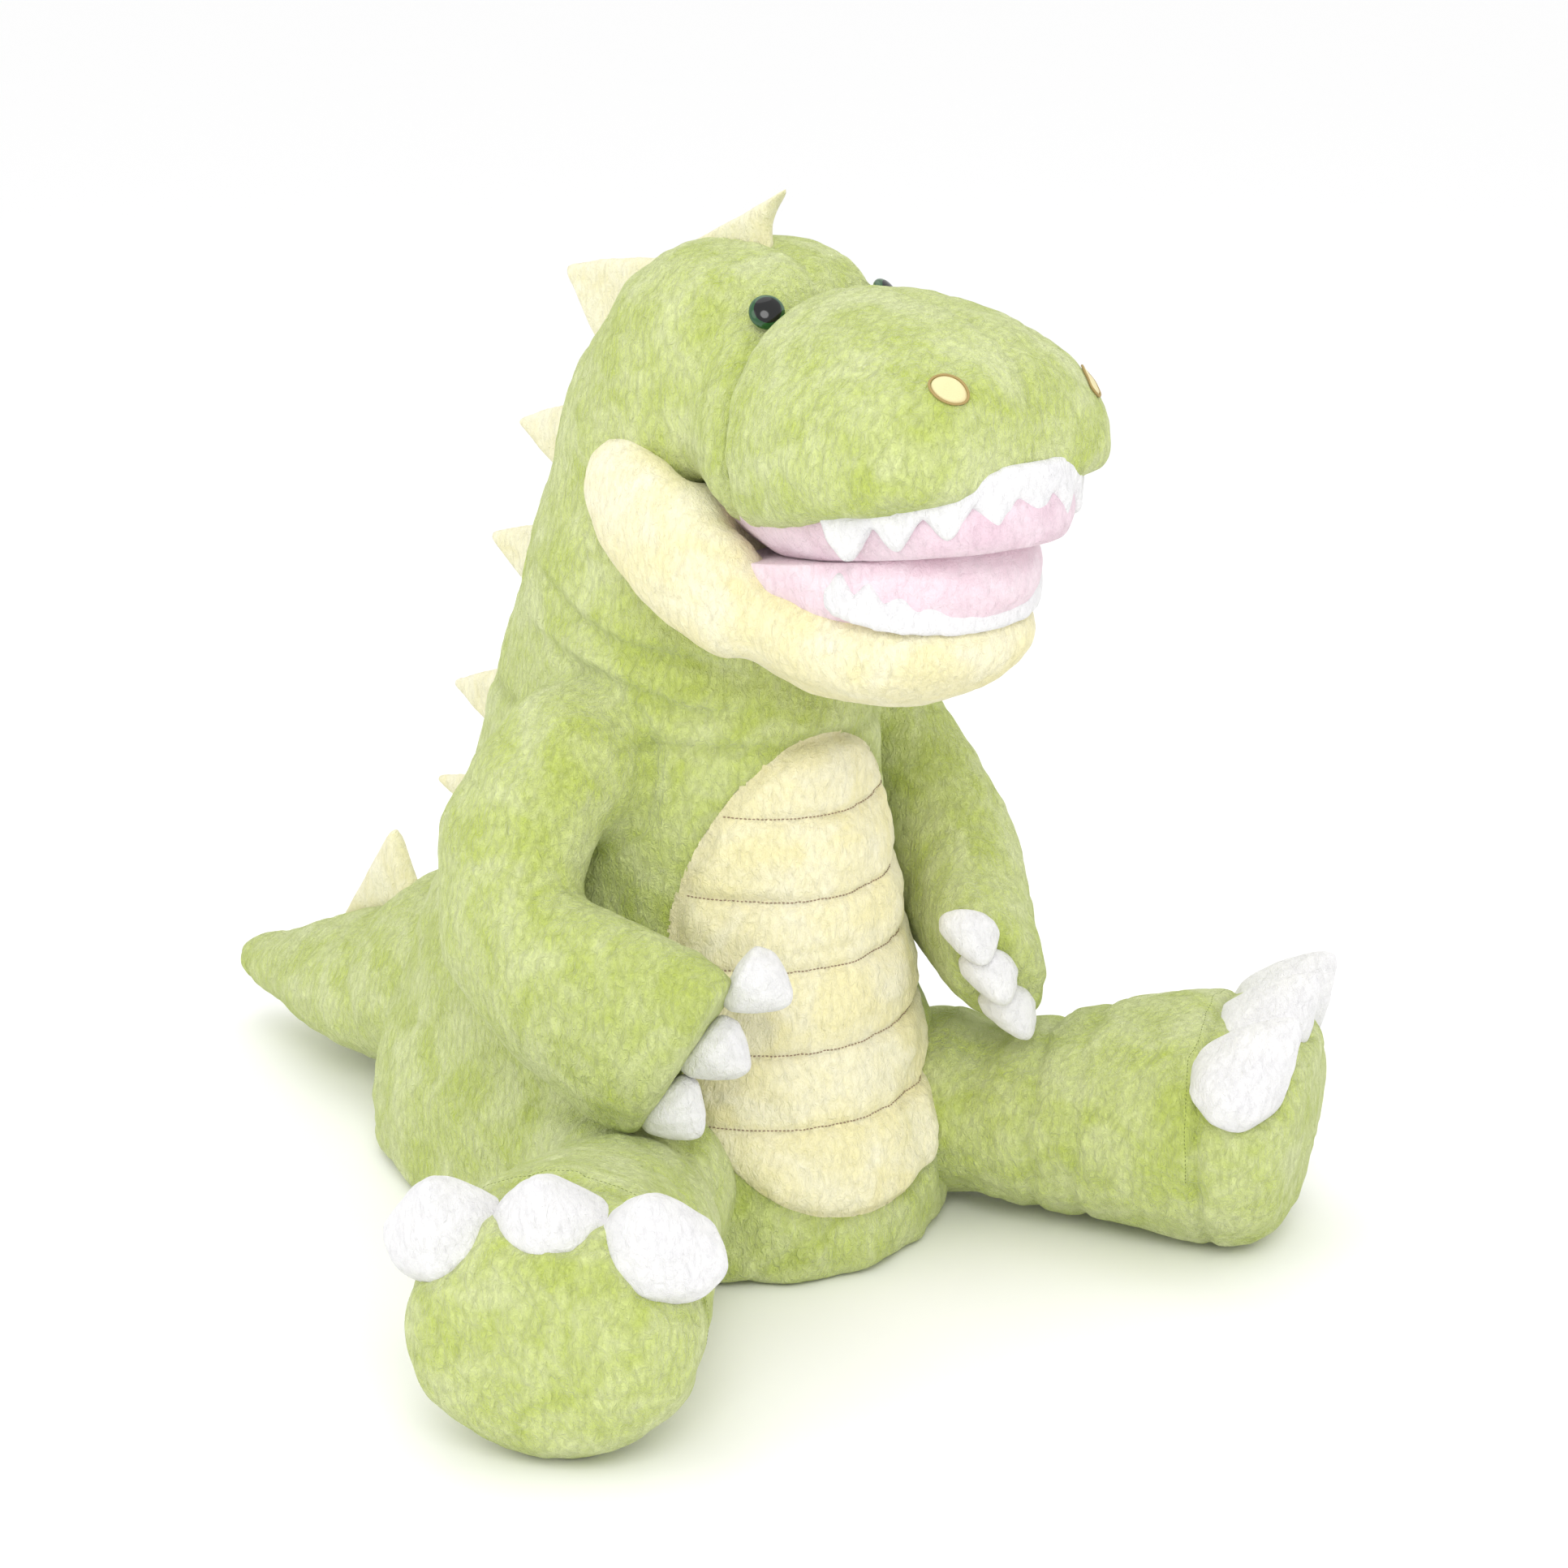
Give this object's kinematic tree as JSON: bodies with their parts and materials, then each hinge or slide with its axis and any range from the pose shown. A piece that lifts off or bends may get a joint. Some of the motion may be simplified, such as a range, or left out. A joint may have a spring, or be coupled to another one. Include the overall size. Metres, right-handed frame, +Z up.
{
  "type": "stuffed toy dinosaur",
  "caption": "Large sitting plush dinosaur with an open stuffed mouth, padded spikes, soft claws and outstretched legs that bend at their seams.",
  "frame": {"origin": "centre of the flat seat that the torso rests on", "axes": "+Z up, the toy faces -Y, its right side is -X"},
  "size_m": [0.8495, 1.0364, 0.862],
  "materials": {
    "plush_green": "short plush pile",
    "plush_cream": "short plush pile",
    "spike_cream": "short velour",
    "plush_white": "short velour",
    "plush_pink": "short velour",
    "plush_pale_pink": "short velour",
    "filling": "loose polyester fibre",
    "embroidery": "satin stitch thread",
    "eye_plastic": "polished dome",
    "washer_plastic": "plain moulded"
  },
  "bodies": {
    "torso": {"torso_skin": "plush_green", "belly_panel": "plush_cream", "torso_stuffing": "filling", "back_spike_1": "spike_cream", "back_spike_2": "spike_cream", "back_spike_3": "spike_cream"},
    "head": {"muzzle_skin": "plush_green", "head_skin": "plush_green", "cheek_panel_right": "plush_cream", "eye_right": "eye_plastic", "eye_washer_right": "washer_plastic", "nostril_right": "embroidery", "cheek_panel_left": "plush_cream", "eye_left": "eye_plastic", "eye_washer_left": "washer_plastic", "nostril_left": "embroidery", "head_stuffing": "filling", "palate_lining": "plush_pink", "upper_teeth": "plush_white", "crest_spike": "spike_cream", "head_spike_upper": "spike_cream", "head_spike_lower": "spike_cream"},
    "jaw": {"jaw_skin": "plush_cream", "jaw_stuffing": "filling", "mouth_lining": "plush_pale_pink", "tongue_lining": "plush_pale_pink", "lower_teeth": "plush_white"},
    "arm_right": {"arm_right_skin": "plush_green", "arm_right_stuffing": "filling", "arm_right_claw_1": "plush_white", "arm_right_claw_2": "plush_white", "arm_right_claw_3": "plush_white"},
    "arm_left": {"arm_left_skin": "plush_green", "arm_left_stuffing": "filling", "arm_left_claw_1": "plush_white", "arm_left_claw_2": "plush_white", "arm_left_claw_3": "plush_white"},
    "leg_right": {"leg_right_skin": "plush_green", "sole_right": "plush_green", "leg_right_stuffing": "filling", "leg_right_claw_1": "plush_white", "leg_right_claw_2": "plush_white", "leg_right_claw_3": "plush_white"},
    "leg_left": {"leg_left_skin": "plush_green", "sole_left": "plush_green", "leg_left_stuffing": "filling", "leg_left_claw_1": "plush_white", "leg_left_claw_2": "plush_white", "leg_left_claw_3": "plush_white"},
    "tail": {"tail_skin": "plush_green", "tail_stuffing": "filling", "tail_spike": "spike_cream"}
  },
  "joints": [
    {"name": "neck_nod", "type": "hinge", "parent": "torso", "child": "head", "pos_m": [0, 0.028, 0.446], "axis": [1, 0, 0], "range_deg": [-6, 8], "stiffness_Nm_per_rad": 80},
    {"name": "jaw_open", "type": "hinge", "parent": "head", "child": "jaw", "pos_m": [0, -0.118, 0.6], "axis": [1, 0, 0], "range_deg": [-4, 8], "stiffness_Nm_per_rad": 12},
    {"name": "shoulder_right_lift", "type": "hinge", "parent": "torso", "child": "arm_right", "pos_m": [-0.148, -0.018, 0.412], "axis": [-0.45, 0.893, 0], "range_deg": [0, 25], "stiffness_Nm_per_rad": 12},
    {"name": "shoulder_left_lift", "type": "hinge", "parent": "torso", "child": "arm_left", "pos_m": [0.148, -0.018, 0.412], "axis": [-0.45, -0.893, 0], "range_deg": [0, 25], "stiffness_Nm_per_rad": 12},
    {"name": "hip_right_splay", "type": "hinge", "parent": "torso", "child": "leg_right", "pos_m": [-0.164, -0.122, 0.082], "axis": [0, 0, -1], "range_deg": [-8, 8], "stiffness_Nm_per_rad": 10},
    {"name": "hip_left_splay", "type": "hinge", "parent": "torso", "child": "leg_left", "pos_m": [0.154, -0.136, 0.082], "axis": [0, 0, 1], "range_deg": [-8, 8], "stiffness_Nm_per_rad": 10},
    {"name": "tail_wag", "type": "hinge", "parent": "torso", "child": "tail", "pos_m": [-0.016, 0.298, 0.104], "axis": [0, 0, 1], "range_deg": [-10, 10], "stiffness_Nm_per_rad": 8}
  ]
}
